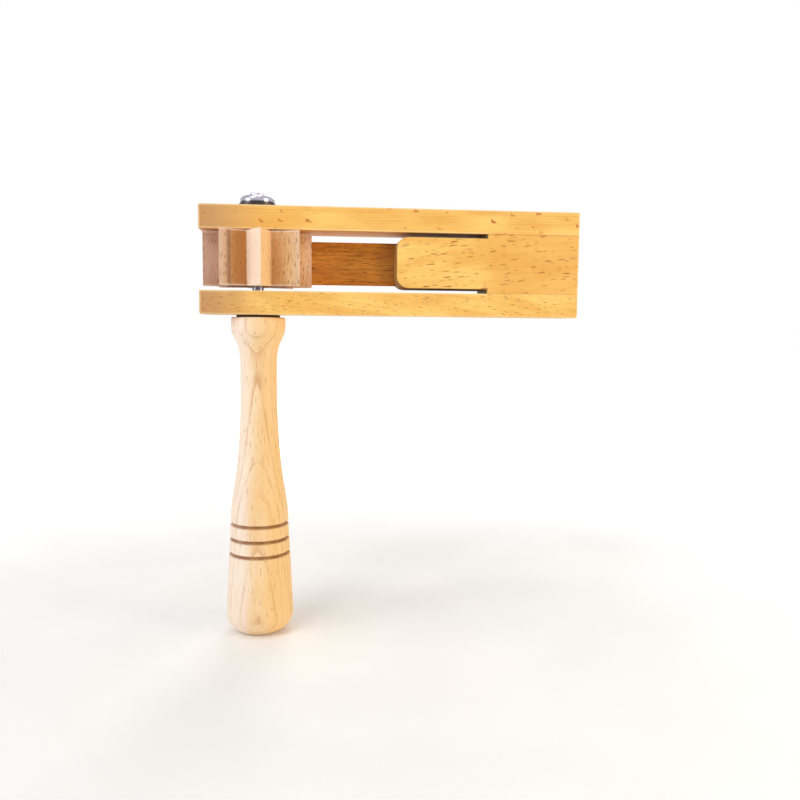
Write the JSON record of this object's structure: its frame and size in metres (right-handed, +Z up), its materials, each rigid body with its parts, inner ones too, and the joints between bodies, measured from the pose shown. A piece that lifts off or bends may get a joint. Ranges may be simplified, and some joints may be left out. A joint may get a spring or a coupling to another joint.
{
  "type": "gragger noisemaker",
  "caption": "Wooden hand ratchet: a frame swings round a turned handle, and its springy reed clicks over a star wheel on the axle.",
  "frame": {"origin": "on the spin axis, at the middle of the grip's length", "axes": "+Z up the axle from the handle to the cap, +X along the frame from the axle to the block, +Y to the back"},
  "size_m": [0.1305, 0.037, 0.1543],
  "materials": {
    "handle_beech": "turned beech, smooth and bare",
    "gear_beech": "sawn beech, bare",
    "frame_beech": "planed beech, honey coloured",
    "reed_beech": "thin beech slat, darker",
    "axle_steel": "plain steel rod",
    "washer_steel": "dark steel",
    "spring_steel": "spring steel",
    "cap_chrome": "bright plated",
    "dark_fibre": "dark fibre"
  },
  "bodies": {
    "handle": {"handle": "handle_beech", "axle_rod": "axle_steel", "ratchet_gear": "gear_beech", "handle_washer": "dark_fibre", "head_washer": "washer_steel", "axle_cap": "cap_chrome", "lock_ring": "spring_steel"},
    "frame": {"lower_arm": "frame_beech", "upper_arm": "frame_beech", "tongue_block": "frame_beech", "reed_root": "reed_beech"},
    "reed": {"reed_blade": "reed_beech"}
  },
  "joints": [
    {"name": "frame_spin", "type": "hinge", "parent": "handle", "child": "frame", "pos_m": [0, 0, 0.0751], "axis": [0, 0, 1], "continuous": true},
    {"name": "reed_flex", "type": "hinge", "parent": "frame", "child": "reed", "pos_m": [0.0463, 0.0037, 0.0751], "axis": [0, 0, -1], "range_deg": [0, 9], "stiffness_Nm_per_rad": 4}
  ]
}
